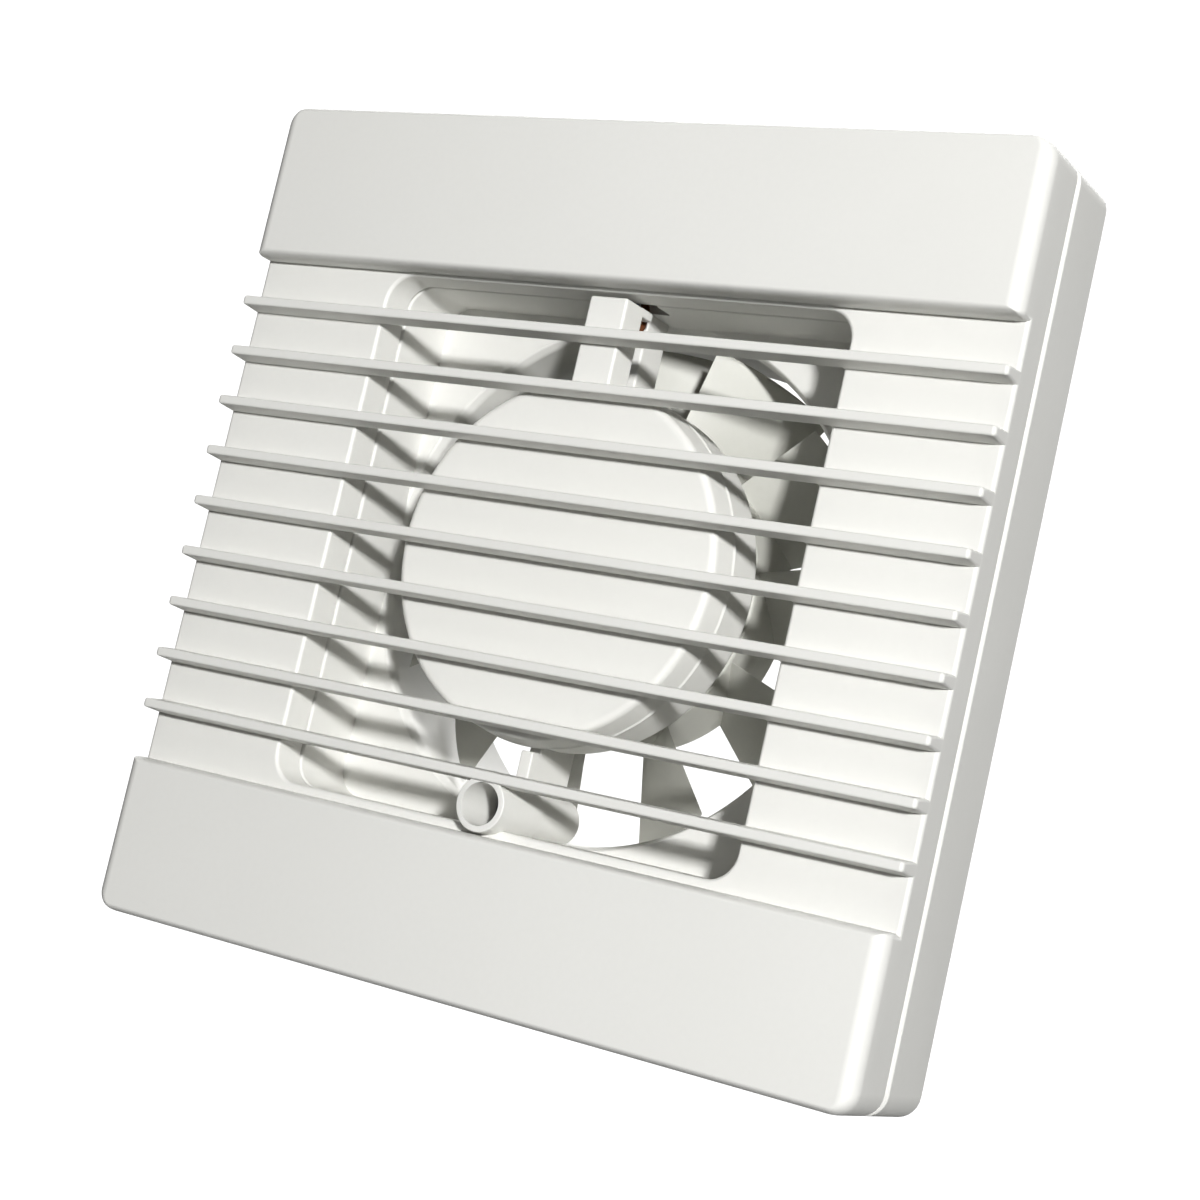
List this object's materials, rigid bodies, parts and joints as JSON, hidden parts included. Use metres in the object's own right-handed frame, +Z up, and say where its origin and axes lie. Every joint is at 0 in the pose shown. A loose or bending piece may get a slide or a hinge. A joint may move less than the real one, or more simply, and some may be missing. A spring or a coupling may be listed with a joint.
{
  "type": "bathroom extractor fan",
  "caption": "Square wall-mounted bathroom extractor fan with a slatted front cover, an axial impeller and a round duct spigot behind.",
  "frame": {"origin": "where the duct's axis meets the wall plane, at the centre of the casing's back", "axes": "+Z up, +Y along the duct into the wall, -Y out of the slatted front, +X to the right seen from the front"},
  "size_m": [0.152, 0.0548, 0.152],
  "materials": {
    "casing": "satin off-white moulding",
    "impeller": "satin off-white moulding",
    "steel": "zinc plated",
    "laminations": "stacked electrical steel sheets",
    "copper": "enamelled copper",
    "bronze": "oiled sintered bronze",
    "brass": "machined",
    "aluminium": "die cast",
    "bobbin": "black glass-filled nylon",
    "felt": "oil-soaked felt",
    "terminal": "satin white moulding",
    "rubber": "soft black rubber",
    "brown": "brown PVC insulation",
    "blue": "blue PVC insulation"
  },
  "bodies": {
    "base": {"base_housing": "casing", "motor_cover": "casing", "stator_core": "laminations", "shading_ring_left": "copper", "shading_ring_right": "copper", "coil_bobbin": "bobbin", "coil_winding": "copper", "thermal_cutout": "bobbin", "front_bearing_bracket": "steel", "rear_bearing_bracket": "steel", "front_bush": "bronze", "rear_bush": "bronze", "front_felt": "felt", "rear_felt": "felt", "motor_screw_left": "steel", "motor_screw_right": "steel", "terminal_block": "terminal", "terminal_fixing_screw": "steel", "terminal_insert_live": "brass", "terminal_insert_neutral": "brass", "terminal_screw_live": "steel", "terminal_screw_neutral": "steel", "cable_clamp": "terminal", "clamp_screw_left": "steel", "clamp_screw_right": "steel", "cable_grommet": "rubber", "wire_live": "brown", "wire_neutral": "blue"},
    "cover": {"front_cover": "casing"},
    "screw": {"cover_screw": "steel"},
    "rotor": {"rotor_core": "laminations", "rotor_ring_front": "aluminium", "rotor_ring_rear": "aluminium", "front_thrust_washer": "bobbin", "rear_thrust_washer": "bobbin", "motor_shaft": "steel", "impeller": "impeller", "impeller_clip": "steel"}
  },
  "joints": [
    {"name": "impeller_spin", "type": "hinge", "parent": "base", "child": "rotor", "pos_m": [0, 0, 0], "axis": [0, 1, 0], "continuous": true},
    {"name": "cover_pull", "type": "slide", "parent": "base", "child": "cover", "axis": [0, -1, 0], "range_m": [0, 0.04]},
    {"name": "cover_screw_out", "type": "slide", "parent": "cover", "child": "screw", "axis": [0, -1, 0], "range_m": [0, 0.013]}
  ]
}
